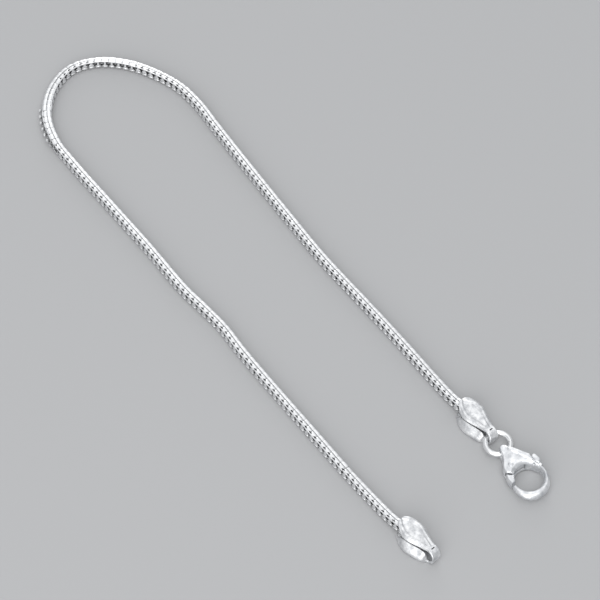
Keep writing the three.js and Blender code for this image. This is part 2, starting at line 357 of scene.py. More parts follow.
def silver(name, look):
    material = bpy.data.materials.new(name)
    material.use_nodes = True
    tree = material.node_tree
    shader = tree.nodes["Principled BSDF"]
    shader.inputs["Metallic"].default_value = look["metal"]
    mottle = placed(tree, "mottle", Scale=look["patch"], Contrast=look["contrast"])
    crevice = placed(tree, "crevice", Reach=look["reach"] * mm, Depth=look["dark"])
    scratches = placed(tree, "scratches", Density=look["scratchDensity"])
    pits = placed(tree, "pits", Scale=look["pitScale"])
    tone = mixed(tree, mottle.outputs["Mask"], look["shade"], look["bright"])
    # painted shade: the occlusion mask pulls the colour towards a near-black in the seams and between links
    shadedTone = mixed(tree, crevice.outputs["Mask"], tone, look["paintedShade"])
    tree.links.new(shadedTone, shader.inputs["Base Color"])
    smooth, dull = look["roughness"]
    cloud = node(tree, "ShaderNodeMapRange", {"To Min": dull, "To Max": smooth})
    tree.links.new(mottle.outputs["Mask"], cloud.inputs["Value"])
    fine = math2(tree, "MULTIPLY", mottle.outputs["Fine"], look["fine"])
    marked = math2(tree, "MULTIPLY", scratches.outputs["Mask"], look["scratched"])
    worn = math2(tree, "ADD", math2(tree, "ADD", cloud.outputs[0], fine), marked)
    seams = math2(tree, "MULTIPLY", crevice.outputs["Mask"], seamDull)
    full = math2(tree, "ADD", worn, seams, clamp=True)
    tree.links.new(full, shader.inputs["Roughness"])
    cut = math2(tree, "MULTIPLY", scratches.outputs["Mask"], -look["scratched"] * scratchDepth)
    pitted = math2(tree, "MULTIPLY", pits.outputs["Height"], look["pitted"])
    height = math2(tree, "ADD", pitted, cut)
    bump = node(tree, "ShaderNodeBump", {"Strength": look["bump"], "Distance": bumpHeight * mm})
    tree.links.new(height, bump.inputs["Height"])
    tree.links.new(bump.outputs[0], shader.inputs["Normal"])
    return material


chainLook = {
    "metal": 0.9,
    "bright": (0.96, 0.965, 0.97),
    "shade": (0.88, 0.885, 0.895),
    "paintedShade": (0.1, 0.105, 0.11),
    "patch": 0.7,
    "contrast": 0.8,
    "reach": 0.5,
    "dark": 1.8,
    "roughness": (0.26, 0.34),
    "fine": 0.06,
    "scratchDensity": 1.4,
    "scratched": 0.08,
    "pitScale": 5.0,
    "pitted": 0.5,
    "bump": 0.35,
}
capLook = {
    "metal": 0.9,
    "bright": (0.95, 0.955, 0.96),
    "shade": (0.6, 0.61, 0.625),
    "paintedShade": (0.12, 0.12, 0.125),
    "patch": 1.3,
    "contrast": 1.3,
    "reach": 0.5,
    "dark": 1.0,
    "roughness": (0.28, 0.42),
    "fine": 0.1,
    "scratchDensity": 1.2,
    "scratched": 0.12,
    "pitScale": 4.0,
    "pitted": 1.0,
    "bump": 0.6,
}
wireLook = {
    "metal": 0.9,
    "bright": (0.96, 0.965, 0.97),
    "shade": (0.86, 0.865, 0.87),
    "paintedShade": (0.2, 0.2, 0.205),
    "patch": 0.8,
    "contrast": 0.8,
    "reach": 0.5,
    "dark": 0.8,
    "roughness": (0.26, 0.36),
    "fine": 0.06,
    "scratchDensity": 1.0,
    "scratched": 0.1,
    "pitScale": 3.0,
    "pitted": 0.5,
    "bump": 0.4,
}
claspLook = {
    "metal": 0.9,
    "bright": (0.96, 0.965, 0.975),
    "shade": (0.62, 0.635, 0.655),
    "paintedShade": (0.12, 0.12, 0.13),
    "patch": 1.0,
    "contrast": 1.2,
    "reach": 0.5,
    "dark": 1.0,
    "roughness": (0.26, 0.42),
    "fine": 0.12,
    "scratchDensity": 1.0,
    "scratched": 0.12,
    "pitScale": 2.8,
    "pitted": 1.2,
    "bump": 0.6,
}
chainSilver = silver("chainSilver", chainLook)
capSilver = silver("capSilver", capLook)
wireSilver = silver("wireSilver", wireLook)
claspSilver = silver("claspSilver", claspLook)
print("silver mixed")


# one link of the chain, and how the links lie
chain = {
    "half": 0.712,  # of the square, over the rails
    "pitch": 1.027,
    "railLength": 1.02,  # of the pitch
    "railSheet": 0.17,
    "groove": 0.075,  # depth beside a broad rail
    "plateSink": 0.03,
    "plateSheet": 0.18,
    "tabEnd": -0.6,  # where the tab goes under the narrow rail
    "thread": (0.26, 0.33, 0.24, 0.24, 0.33, 0.26),  # radius of the inner thread along a link
    "fullThread": (0.39, 0.39, 0.39, 0.39, 0.39, 0.39),
    "front": (0.808, -0.589, 0.0),  # the way the chain's broken face is turned all along
    "roll": 14.0,  # degrees it's rolled up by, where it faces that way squarely
    "jitter": 0.8,  # degrees
    "swing": 0.5,  # share of the jitter that turns a link sideways
    "seed": 11,
    "railFall": 2.5,  # power by which a rail sinks towards its ends
    "railCorner": 0.04,
    "bank": 0.14,  # how far from the broad rail the plate reaches its height
    "crownEdge": 0.06,
    "crownShoulder": 0.012,
    "sharp": 38,
}
# two corners of each link are broad rails and two are narrow: where the rail's free edge lies on
# the upper or lower face at the middle and ends of the link, then on a side face, how far its ends
# are drawn in, how round it is, and how far its free edges curl under
broadRail = {
    "edge": 0.05, "endEdge": 0.06, "side": 0.24, "endSide": 0.3, "sink": 0.035, "round": 0.3, "curl": 0.05,
}
lowRail = {
    "edge": 0.05, "endEdge": 0.06, "side": 0.2, "endSide": 0.34, "sink": 0.14, "round": 0.24, "curl": 0.16,
}
narrowRail = {
    "edge": 0.52, "endEdge": 0.54, "side": 0.44, "endSide": 0.5, "sink": 0.04, "round": 0.1, "curl": 0.04,
}
# the plate on each face ends in a tab, which leaves a slot on both sides of it
topPlate = {"reach": 0.495, "spineEnd": -0.35, "tabHalf": 0.29}
# where the chain turns square to its front, the tab fills the slots
shutPlate = {"reach": 0.495, "spineEnd": -0.45, "tabHalf": 0.46}
shutFacing = 0.5  # and less, from 1 where it faces its front squarely
sidePlate = {"reach": 0.38, "spineEnd": -0.12, "tabHalf": 0.2}
# where the bend pulls the links apart on their front, the slots gape and the upper face closes up
closedPlate = {"reach": 0.535, "spineEnd": -0.5, "tabHalf": 0.55}
gapingPlate = {"reach": 0.36, "spineEnd": 0.1, "tabHalf": 0.16}
gapingX = (-46.6, -41.9)
gapingY = 1.6  # and above
# outside the bend each link's lower edge sticks out in a knob, over the same stretch of X
knob = {"x": (-44.4, -36.4), "y": -8.0, "out": 0.46, "long": 0.25, "tall": 0.24, "low": -0.1}

# the middle line of the chain, from inside the clasp-side cap round to inside the free cap
lie = 0.725
clearOfCap = 0.74
halfRaised = 0.88
capMid = 1.1
route = [
    (33.4, 8.58, capMid), (31.2, 8.46, capMid), (29.0, 8.25, halfRaised), (25.5, 8.2, clearOfCap),
    (20.5, 8.2, lie), (15.0, 8.15, lie), (8.8, 8.0, lie), (0.3, 7.8, lie), (-8.5, 8.1, lie),
    (-17.5, 8.5, lie), (-26.7, 9.0, lie), (-31.4, 9.3, lie), (-35.8, 8.9, lie), (-39.9, 7.4, lie),
    (-43.5, 5.2, lie), (-46.2, 2.2, lie), (-47.4, -1.6, lie), (-46.0, -5.8, lie), (-42.5, -9.2, lie),
    (-37.9, -10.8, lie), (-33.3, -11.0, lie), (-24.2, -10.8, lie), (-15.3, -10.6, lie),
    (-6.5, -10.6, lie), (-2.3, -10.2, lie), (2.0, -9.9, lie), (6.2, -10.1, lie), (14.6, -10.1, lie),
    (22.9, -10.0, lie), (30.6, -9.9, lie), (35.5, -9.67, clearOfCap), (39.0, -9.45, halfRaised),
    (41.2, -9.16, capMid), (43.3, -8.85, capMid),
]


# a centripetal curve through the points of the route, closely sampled
def curveThrough(points, parts=40):
    given = np.array(points, float)
    first = 2 * given[0] - given[1]
    last = 2 * given[-1] - given[-2]
    whole = np.vstack([first, given, last])
    samples = []
    for i in range(1, len(whole) - 2):
        p0, p1, p2, p3 = whole[i - 1:i + 3]
        knots = [0.0]
        for a, b in ((p0, p1), (p1, p2), (p2, p3)):
            knots.append(knots[-1] + math.sqrt(np.linalg.norm(b - a)))
        t0, t1, t2, t3 = knots
        for t in np.linspace(t1, t2, parts, endpoint=False):
            a1 = ((t1 - t) * p0 + (t - t0) * p1) / (t1 - t0)
            a2 = ((t2 - t) * p1 + (t - t1) * p2) / (t2 - t1)
            a3 = ((t3 - t) * p2 + (t - t2) * p3) / (t3 - t2)
            b1 = ((t2 - t) * a1 + (t - t0) * a2) / (t2 - t0)
            b2 = ((t3 - t) * a2 + (t - t1) * a3) / (t3 - t1)
            samples.append(((t2 - t) * b1 + (t - t1) * b2) / (t2 - t1))
    samples.append(whole[-2])
    return np.array(samples)


# corner rail of one link, lying along X, in the corner at +Y +Z before it is mirrored
def cornerRail(c, rail, sideY, sideZ):
    stations = 11
    arcParts = 6
    rings = []
    reach = c["pitch"] * c["railLength"] / 2
    bend = rail["round"]
    curl = rail["curl"]
    for i in range(stations):
        u = -1 + 2 * i / (stations - 1)
        face = c["half"] - rail["sink"] * abs(u) ** c["railFall"]
        edge = rail["edge"] + (rail["endEdge"] - rail["edge"]) * u * u
        side = rail["side"] + (rail["endSide"] - rail["side"]) * u * u
        inner = face - c["railSheet"]
        outline = [(edge, face - curl), (edge + curl, face)]
        for part in range(arcParts + 1):
            angle = math.pi / 2 * (1 - part / arcParts)
            outline.append((face - bend + bend * math.cos(angle), face - bend + bend * math.sin(angle)))
        outline += [(face, side + curl), (face - curl, side)]
        corner = inner - c["railCorner"]
        outline += [(inner, side + curl), (corner, corner), (edge + curl, inner)]
        rings.append([(u * reach, sideY * y, sideZ * z) for y, z in outline])
    return skin(rings)


# plate across one face of a link: a spine beside the broad rail and a tab to the narrow one
def plate(c, shape, turn):
    full = c["pitch"] * shape["reach"]
    top = c["half"] - c["plateSink"]
    low = c["half"] - c["groove"]
    spine, tab = shape["spineEnd"], shape["tabHalf"]
    rim = broadRail["side"] if turn % 2 else broadRail["edge"]
    bank = rim - c["bank"]
    middle = (bank + spine) / 2
    # where each row lies across the face, half its length, and its height
    rows = [
        (rim + 0.08, full, low - 0.02), (rim - 0.02, full, low), (bank, full, top - 0.01),
        (middle, full, top), (spine + 0.05, full * 0.97, top - 0.005),
        (spine + 0.01, (full + tab) / 2, top - 0.02), (spine - 0.03, tab, top - 0.02),
        (c["tabEnd"], tab * 0.95, top - 0.04),
    ]
    mirror = 1 if turn % 2 else -1
    rings = []
    for across, reach, crown in rows:
        under, edge = crown - c["plateSheet"], crown - c["crownEdge"]
        shoulder = crown - c["crownShoulder"]
        section = [
            (-reach, under), (-reach, edge), (-reach * 0.88, shoulder), (-reach * 0.5, crown),
            (reach * 0.5, crown), (reach * 0.88, shoulder), (reach, edge), (reach, under),
        ]
        rings.append([turned((x, mirror * across, z), turn) for x, z in section])
    return skin(rings)


def turned(point, turn):
    x, y, z = point
    c, s = ((1, 0), (0, 1), (-1, 0), (0, -1))[turn]
    return (x, c * y - s * z, s * y + c * z)


# inner thread of a link, which the next link hooks over
def core(c, radii):
    sides = 8
    rings = []
    for share, radius in zip((-0.5, -0.3, -0.1, 0.1, 0.3, 0.5), radii):
        rings.append([
            (
                share * c["pitch"],
                radius * math.cos(math.pi * (2 * i + 1) / sides),
                radius * math.sin(math.pi * (2 * i + 1) / sides),
            )
            for i in range(sides)
        ])
    return skin(rings)


# small knob standing out of the lower half of a side face
def sideKnob(c, side):
    start = c["half"]
    out = knob["out"]
    # how far out each row lies, and its share of the knob's length and height
    rows = [
        (start - 0.25, 0.45, 0.7), (start, 0.5, 0.7), (start + out * 0.35, 0.9, 0.95),
        (start + out * 0.75, 1.0, 1.0), (start + out * 0.95, 0.75, 0.75), (start + out, 0.4, 0.4),
    ]
    corners = [(-1, -0.5), (-0.6, -1), (0.6, -1), (1, -0.5), (1, 0.5), (0.6, 1), (-0.6, 1), (-1, 0.5)]
    rings = []
    for y, long, tall in rows:
        rings.append([
            (a * long * knob["long"], side * y, knob["low"] + b * tall * knob["tall"]) for a, b in corners
        ])
    return skin(rings)


# the front of the link is towards +Y
def linkParts(c, upperPlate, frontPlate):
    corners = ((1, 1, narrowRail), (1, -1, lowRail), (-1, -1, narrowRail), (-1, 1, broadRail))
    rails = [cornerRail(c, rail, y, z) for y, z, rail in corners]
    shapes = (upperPlate, sidePlate, upperPlate, frontPlate)
    plates = [plate(c, shape, turn) for turn, shape in enumerate(shapes)]
    return rails + plates + [core(c, c["thread"] if frontPlate is sidePlate else c["fullThread"])]


def makeChain(c):
    line = curveThrough(route)
    steps = np.linalg.norm(np.diff(line, axis=0), axis=1)
    along = np.concatenate([[0.0], np.cumsum(steps)])
    count = int(along[-1] / c["pitch"])
    margin = (along[-1] - count * c["pitch"]) / 2
    centres = margin + c["pitch"] * (np.arange(count) + 0.5)
    step = c["pitch"] / 2
    at, ahead, behind = (
        np.column_stack([np.interp(centres + shift, along, line[:, k]) for k in range(3)])
        for shift in (0.0, step, -step)
    )
    tightLink = linkParts(c, topPlate, sidePlate)
    shutLink = linkParts(c, shutPlate, sidePlate)
    gapingLink = linkParts(c, closedPlate, gapingPlate)
    rng = np.random.default_rng(c["seed"])
    straight = c["half"] - narrowRail["round"]
    links = []
    for i in range(count):
        forward = ahead[i] - behind[i]
        forward /= np.linalg.norm(forward)
        up = np.array([0.0, 0.0, 1.0]) - forward[2] * forward
        up /= np.linalg.norm(up)
        side = np.cross(up, forward)
        facing = float(side @ np.array(c["front"]))
        handed = 1 if facing > 0 else -1
        x, y = at[i][:2]
        parts = shutLink if abs(facing) < shutFacing else tightLink
        if gapingX[0] < x < gapingX[1] and y > gapingY:
            parts = gapingLink
        if knob["x"][0] < x < knob["x"][1] and y < knob["y"]:
            parts = parts + [sideKnob(c, -handed)]
        points, faces = together(parts)
        roll = math.radians(c["roll"] * facing + rng.normal(0.0, c["jitter"]))
        swing = math.radians(rng.normal(0.0, c["jitter"] * c["swing"]))
        # a rolled square is drawn in so that it still fits between the floor and its own height
        fit = c["half"] / (straight * (math.cos(roll) + abs(math.sin(roll))) + narrowRail["round"])
        newSide = math.cos(roll) * side + math.sin(roll) * up
        newUp = math.cos(roll) * up - math.sin(roll) * side
        newForward = math.cos(swing) * forward + math.sin(swing) * newSide
        newSide = np.cross(newUp, newForward)
        basis = np.array([newForward, newSide * fit * handed, newUp * fit])
        moved = np.array(points) @ basis + at[i]
        links.append((moved.tolist(), faces))
    return links


links = makeChain(chain)
third = len(links) // 3
stretches = {
    "chain_clasp_leg": links[:third],
    "chain_bend": links[third:2 * third],
    "chain_free_leg": links[2 * third:],
}
inPlace = Matrix.Identity(4)
for stretchName, stretchLinks in stretches.items():
    obj = rough(stretchName, *together(stretchLinks))
    finished(obj, inPlace, chainSilver, chain["sharp"], "root", ["chain"])
print("chain linked,", len(links), "links")


# folded sheet cap, lying along X from its mouth
cap = {
    "height": 2.2,
    "length": 7.55,
    "lean": 0.2,
    "sheet": 0.3,
    "bend": 0.55,
    "wallRise": 1.5,
    "strapFace": 0.46,
    "strapHalf": 0.58,
    "dish": 0.12,
    "rim": 0.34,
    "rimFall": 0.16,
    "stations": 46,
    "loopParts": 24,
    "spreadParts": 9,
    "slitAt": 6.44,
    "slit": (0.17, 0.62, 0.5),
    "slitRound": 0.45,  # of its narrower side
    "slitShift": 0.05,  # sideways, and down into the sheet
    "crowding": 1.5,  # gathers the stations towards the strap
    "dishEnd": 0.8,  # the dish fades out over this length before the strap
    "strapRoot": (0.38, 0.22, 0.45),  # added to face, edge and turned where the strap begins
    "lip": 0.6,
    "sharp": 50,
}
lowerLeaf = [
    {"at": 1.0, "face": 0.62, "edge": 0.78, "turned": 0.0},
    {"at": 1.2, "face": 1.02, "edge": 1.15, "turned": 0.12},
    {"at": 1.6, "face": 1.4, "edge": 1.46, "turned": 0.5},
    {"at": 2.1, "face": 1.7, "edge": 1.56, "turned": 1.05},
    {"at": 2.7, "face": 1.93, "edge": 1.6, "turned": 1.45},
    {"at": 3.4, "face": 2.02, "edge": 1.48, "turned": 1.5},
    {"at": 4.1, "face": 1.96, "edge": 1.28, "turned": 1.5},
    {"at": 4.7, "face": 1.8, "edge": 1.1, "turned": 1.5},
    {"at": 5.3, "face": 1.62, "edge": 0.96, "turned": 1.48},
    {"at": 5.8, "face": 1.46, "edge": 0.9, "turned": 1.44},
    {"at": 6.15, "face": 1.26, "edge": 0.88, "turned": 1.2},
    {"at": 6.45, "face": 0.84, "edge": 0.8, "turned": 0.45},
]
upperLeaf = [
    {"at": 0.42, "face": 0.3, "edge": 0.42, "turned": 0.02},
    {"at": 0.65, "face": 0.56, "edge": 0.72, "turned": 0.03},
    {"at": 1.0, "face": 0.8, "edge": 0.98, "turned": 0.05},
    {"at": 1.4, "face": 1.02, "edge": 1.22, "turned": 0.1},
    {"at": 1.8, "face": 1.17, "edge": 1.4, "turned": 0.2},
    {"at": 2.2, "face": 1.29, "edge": 1.52, "turned": 0.3},
    {"at": 2.7, "face": 1.36, "edge": 1.6, "turned": 0.3},
    {"at": 3.5, "face": 1.24, "edge": 1.48, "turned": 0.3},
    {"at": 4.2, "face": 1.0, "edge": 1.24, "turned": 0.3},
    {"at": 5.0, "face": 0.78, "edge": 0.98, "turned": 0.26},
    {"at": 5.8, "face": 0.62, "edge": 0.78, "turned": 0.16},
    {"at": 6.4, "face": 0.46, "edge": 0.58, "turned": 0.0},
]


# half of a leaf's outer face, from its middle to its edge, as (across, inwards)
def leafHalf(c, face, edge, turned, dish):
    radius = min(c["bend"], face / 2)
    share = turned / c["wallRise"]
    flat = face - radius
    flatParts, bendParts, wallParts = 12, 6, 4
    half = []
    for part in range(flatParts + 1):
        across = flat * part / flatParts
        fade = min(max((face - c["rim"] - across) / c["rimFall"], 0.0), 1.0)
        half.append((across, dish * fade * fade * (3 - 2 * fade)))
    for part in range(1, bendParts + 1):
        t = part / bendParts
        across = (1 - t) ** 2 * flat + 2 * (1 - t) * t * face + t * t * face
        half.append((across, t * t * radius * share))
    start = half[-1]
    for part in range(1, wallParts + 1):
        t = part / wallParts
        half.append((start[0] + (edge - start[0]) * t, start[1] + (turned - start[1]) * t))
    return half


# the same half set back by the thickness of the sheet
def setBack(half, sheet):
    points = np.array(half)
    along = np.gradient(points, axis=0)
    along /= np.linalg.norm(along, axis=1)[:, None]
    along[0] = (1.0, 0.0)
    return [(a - sheet * d[1], i + sheet * d[0]) for (a, i), d in zip(points, along)]


# outer face, round over the edge, and back along the inner face
def sheetLoop(c, half):
    inner = setBack(half, c["sheet"])
    edgeOut, edgeIn = np.array(half[-1]), np.array(inner[-1])
    middle = (edgeOut + edgeIn) / 2
    reach = (edgeOut - edgeIn) / 2
    past = np.array([-reach[1], reach[0]])
    lead = np.array(half[-1]) - np.array(half[-2])
    if np.dot(past, lead) < 0:
        past = -past
    lip = []
    for angle in (30, 60, 90, 120, 150):
        a = math.radians(angle)
        lip.append(tuple(middle + reach * math.cos(a) + past * math.sin(a) * c["lip"]))
    right = half + lip + inner[::-1]
    left = [(-a, i) for a, i in right[::-1]]
    middleOuter = len(right) - 1
    return right[:middleOuter] + left[1:]


def capMesh(c):
    loopRadius = c["height"] / 2
    loopX = c["length"] - loopRadius
    moreFace, moreEdge, moreTurned = c["strapRoot"]
    rings = []

    def leaning(x, y, z):
        return (x, y + c["lean"] * z, z)

    def leafRings(rows, z, inZ, dish, order):
        made = []
        for i in order:
            share = i / (c["stations"] - 1)
            at = rows[0]["at"] + (rows[-1]["at"] - rows[0]["at"]) * (1 - (1 - share) ** c["crowding"])
            values = [between(at, rows, key) for key in ("face", "edge", "turned")]
            fade = min(max((rows[-1]["at"] - at) / c["dishEnd"], 0.0), 1.0)
            half = leafHalf(c, *values, dish * fade)
            made.append([
                leaning(at, across, z + inZ * inwards) for across, inwards in sheetLoop(c, half)
            ])
        return made

    forwards = range(c["stations"])
    rings += leafRings(lowerLeaf, 0.0, 1, 0.0, forwards)
    for part in range(c["loopParts"] + 1):
        angle = -math.pi / 2 + math.pi * part / c["loopParts"]
        inX, inZ = -math.cos(angle), -math.sin(angle)
        # the strap narrows as it leaves the lower leaf
        spread = max(1 - part / c["spreadParts"], 0.0) ** 2
        face, edge = c["strapFace"] + moreFace * spread, c["strapHalf"] + moreEdge * spread
        half = leafHalf(c, face, edge, moreTurned * spread, 0.0)
        rings.append([
            leaning(
                loopX - loopRadius * inX + inX * inwards,
                across,
                loopRadius - loopRadius * inZ + inZ * inwards,
            )
            for across, inwards in sheetLoop(c, half)
        ])
    rings += leafRings(upperLeaf, c["height"], -1, c["dish"], reversed(forwards))
    return skin(rings)


# an upright block with rounded corners, for cutting with
def block(name, size, at, rounded):
    built = bmesh.new()
    bmesh.ops.create_cube(built, size=1.0)
    bmesh.ops.scale(built, vec=size, verts=built.verts)
    upright = [e for e in built.edges if abs((e.verts[0].co - e.verts[1].co).z) > tiny]
    bmesh.ops.bevel(
        built, geom=upright, offset=min(size[:2]) * rounded, segments=3, affect="EDGES"
    )
    bmesh.ops.translate(built, vec=at, verts=built.verts)
    return objectFrom(name, built)


# joins or cuts with each tool in turn, and throws the tools away
def combined(obj, tools, operation):
    for tool in tools:
        modifier = obj.modifiers.new("cut", "BOOLEAN")
        modifier.operation = operation
        modifier.object = tool
        modifier.solver = "EXACT"
        applied(obj)
        if not obj.data.polygons:
            raise RuntimeError(obj.name + " was lost in a cut")
        bpy.data.objects.remove(tool)
    return obj


def makeCap(name, mouth, turn, node):
    c = cap
    obj = rough(name, *capMesh(c))
    shift = c["slitShift"]
    slitPlace = (c["slitAt"], c["lean"] * c["height"] + shift, c["height"] - shift)
    slit = block("slit", c["slit"], slitPlace, c["slitRound"])
    combined(obj, [slit], "DIFFERENCE")
    move = Matrix.Translation((*mouth, 0.0)) @ Matrix.Rotation(math.radians(turn), 4, "Z")
    return finished(obj, move, capSilver, c["sharp"], "root", [node])


makeCap("cap_clasp_side", (30.12, 8.4), 0.8, "end_cap_clasp_side")
makeCap("cap_free_end", (40.0, -9.25), 4.8, "end_cap_free_end")
print("caps folded")


# round wire ring between a cap and the clasp
ring = {
    "wire": 0.72,
    "radius": 1.68,
    "height": 1.0,
    "centre": (38.3, 8.86),
    "steps": 120,
    "sides": 28,
    "joint": 0.9,  # degrees left open where the wire's ends butt
    "jointAt": 62.0,
    "worn": 0.12,  # share of the wire that its ends have lost
    "wornOver": 0.08,
    "sharp": 40,
}


def makeRing(r):
    start = r["jointAt"] + r["joint"] / 2
    sweep = 360.0 - r["joint"]
    rings = []
    for step in range(r["steps"] + 1):
        share = step / r["steps"]
        angle = math.radians(start + sweep * share)
        fromEnd = min(share, 1 - share) * sweep * math.pi / 180 * r["radius"]
        wire = r["wire"] / 2 * (1 - r["worn"] * max(1 - fromEnd / r["wornOver"], 0.0) ** 2)
        rings.append([
            (
                (r["radius"] + wire * math.cos(a)) * math.cos(angle),
                (r["radius"] + wire * math.cos(a)) * math.sin(angle),
                wire * math.sin(a),
            )
            for a in (2 * math.pi * i / r["sides"] for i in range(r["sides"]))
        ])
    obj = rough("ring", *skin(rings))
    move = Matrix.Translation((*r["centre"], r["height"]))
    return finished(obj, move, wireSilver, r["sharp"], "root", ["jump_ring"])


makeRing(ring)
print("ring closed")


# lobster clasp, measured from the middle of its hole, with its nose towards +X
clasp = {
    "centre": (45.08, 8.7, 0.0),  # middle of the hole
    "thick": 2.3,
    "faceThick": 1.98,
    "edge": 0.12,
    "hole": 1.97,
    "eyeX": -5.08,
    "eyeZ": 1.1,
    "eye": 0.72,
    "tailFrom": -4.1,
    "tailLong": 2.0,
    "tailThin": 0.5,
    "pivot": (-2.75, -0.9),
    "pin": 0.3,
    "play": 0.06,
    "lever": 0.7,
    "leverPlay": 0.15,
    "hub": 0.72,
    "gate": 1.5,
    "gateRoot": 1.47,
    "thumb": 1.38,
    "voxel": 0.05,
    "softened": 3,  # times over
    "flare": 0.16,  # the eye opens out at both mouths
    "hookTip": 0.75,  # the last section of the hook, of its width
    "throat": (224, 100),  # degrees round the hole, from the tail side to the shoulder
    "gateEdge": 0.12,
    "thumbEdge": 0.17,
    "through": 2.0,  # half the length of a tool that cuts right through
    "sharp": 60,
    "pinSharp": 50,
}
hookRows = [
    {"at": -128.0, "wide": 0.36, "tall": 1.5, "out": 0.29},
    {"at": -104.0, "wide": 0.46, "tall": 1.7, "out": 0.26},
    {"at": -80.0, "wide": 0.6, "tall": 1.7, "out": 0.3},
    {"at": -55.0, "wide": 0.72, "tall": 1.5, "out": 0.36},
    {"at": -30.0, "wide": 0.94, "tall": 1.35, "out": 0.47},
    {"at": -8.0, "wide": 1.05, "tall": 1.3, "out": 0.525},
    {"at": 14.0, "wide": 1.16, "tall": 1.25, "out": 0.575},
    {"at": 36.0, "wide": 1.2, "tall": 1.18, "out": 0.6},
    {"at": 58.0, "wide": 0.98, "tall": 1.08, "out": 0.49},
    {"at": 78.0, "wide": 0.74, "tall": 0.96, "out": 0.37},
    {"at": 96.0, "wide": 0.57, "tall": 0.85, "out": 0.285},
]
# small pits in the upper face, one at the rim of the hole and one beside the gate, as place and radius
claspPits = [(-1.14, 1.72, 0.16), (-1.72, -1.78, 0.12)]
pitFrom, pitTo = 0.45, 1.3  # above the middle


# an outline raised between two heights, with its edges eased
def raised(name, outline, bottom, top, edge=0.0):
    built = bmesh.new()
    verts = [built.verts.new((x, y, bottom)) for x, y in outline]
    face = built.faces.new(verts)
    lifted = bmesh.ops.extrude_face_region(built, geom=[face])
    for item in lifted["geom"]:
        if isinstance(item, bmesh.types.BMVert):
            item.co.z = top
    bmesh.ops.recalc_face_normals(built, faces=built.faces)
    if edge:
        rims = [e for e in built.edges if abs(e.verts[0].co.z - e.verts[1].co.z) < tiny]
        bmesh.ops.bevel(built, geom=rims, offset=edge, segments=3, affect="EDGES", profile=0.6)
    return objectFrom(name, built)


def circle(centre, radius, count=32):
    angles = [2 * math.pi * i / count for i in range(count)]
    return [(centre[0] + radius * math.cos(a), centre[1] + radius * math.sin(a)) for a in angles]


# a body of revolution about an axis through the clasp, from (radius, along) pairs
def spun(name, profile, at, axis, count=32):
    rings = []
    for radius, along in profile:
        rings.append([
            (radius * math.cos(2 * math.pi * i / count), radius * math.sin(2 * math.pi * i / count), along)
            for i in range(count)
        ])
    obj = rough(name, *skin(rings))
    turn = Matrix.Rotation(math.pi / 2, 4, "X") if axis == "Y" else Matrix.Identity(4)
    obj.data.transform(Matrix.Translation(at) @ turn)
    return obj


def bodyOutline(c):
    outline = [
        (-1.15, 2.4), (-1.3, 2.05), (-2.4, 2.05), (-2.52, 2.12), (-3.75, 1.42), (-4.7, 0.92),
        (-5.1, 0.62), (-5.65, 0.52), (-5.95, 0.28), (-6.0, 0.0), (-5.88, -0.34), (-5.4, -0.6),
        (-4.6, -0.86), (-3.9, -1.2), (-3.2, -1.8), (-2.8, -2.02), (-2.1, -2.08),
    ]
    throatFrom, throatTo = c["throat"]
    throatParts = 24
    for step in range(throatParts + 1):
        angle = math.radians(throatFrom + (throatTo - throatFrom) * step / throatParts)
        outline.append((c["hole"] * math.cos(angle), c["hole"] * math.sin(angle)))
    outline.append((-0.35, 2.5))
    return outline


def hook(c):
    sides = 20
    steps = 60
    rings = []
    for step in range(steps + 1):
        at = hookRows[0]["at"] + (hookRows[-1]["at"] - hookRows[0]["at"]) * step / steps
        wide, tall, out = (between(at, hookRows, key) for key in ("wide", "tall", "out"))
        if step == steps:
            wide, tall = wide * c["hookTip"], tall * c["hookTip"]
        angle = math.radians(-at)
        ringPoints = []
        for i in range(sides):
            a = 2 * math.pi * i / sides
            reach = c["hole"] + out + wide / 2 * math.cos(a)
            height = c["thick"] / 2 + tall / 2 * math.sin(a)
            ringPoints.append((reach * math.cos(angle), reach * math.sin(angle), height))
        rings.append(ringPoints)
    return rough("hook", *skin(rings))


# rebuilds a mesh as one cast surface, with its edges softened
def cast(obj, voxel, passes):
    remesh = obj.modifiers.new("cast", "REMESH")
    remesh.mode = "VOXEL"
    remesh.voxel_size = voxel
    soften = obj.modifiers.new("soften", "SMOOTH")
    soften.factor = 0.5
    soften.iterations = passes
    return applied(obj)


